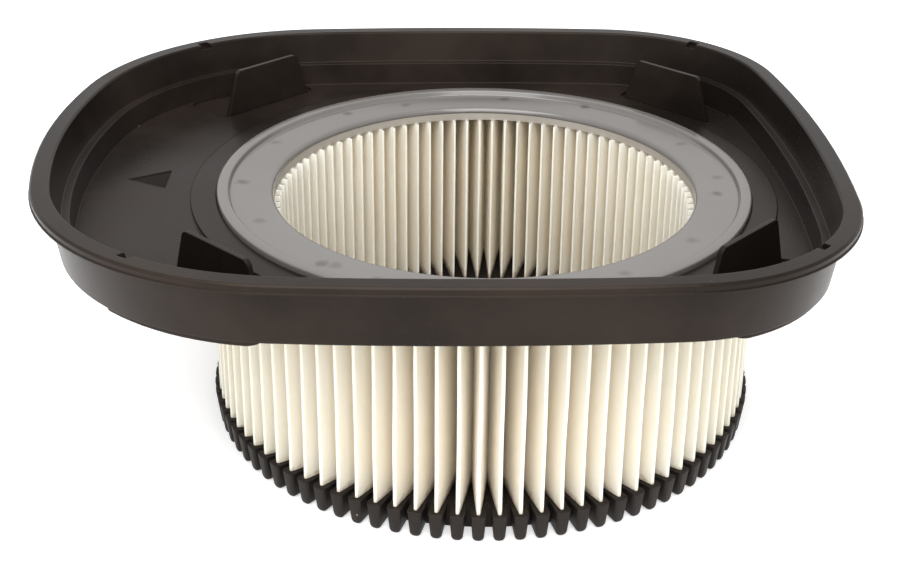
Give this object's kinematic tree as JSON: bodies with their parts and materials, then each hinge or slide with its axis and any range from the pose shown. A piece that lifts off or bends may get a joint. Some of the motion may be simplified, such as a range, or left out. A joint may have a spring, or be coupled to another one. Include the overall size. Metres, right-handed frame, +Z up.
{
  "type": "pleated hepa filter cartridge",
  "caption": "Cylindrical pleated filter cartridge with a toothed bottom cap, hanging under a rounded-D tray with a seal ring round its open bore.",
  "frame": {"origin": "on the filter's axis, at the flat underside of the bottom cap that the cartridge stands on", "axes": "+Z up along the filter's axis towards the open bore, +X towards the flatter end of the tray and along its length, -X towards the bowed end with the arrow mark"},
  "size_m": [0.2896, 0.257, 0.1094],
  "materials": {
    "tray_plastic": "moulded black plastic with a satin sheen",
    "seal_ring": "dull grey cast polyurethane with small brownish spots",
    "potting": "dull greenish-grey cast resin",
    "media": "matt off-white fibre sheet, folded",
    "cap": "dull black cast polyurethane"
  },
  "bodies": {
    "root": {"tray": "tray_plastic", "top_ring": "seal_ring", "top_potting": "potting", "pleated_media": "media", "bottom_cap": "cap"}
  },
  "joints": []
}
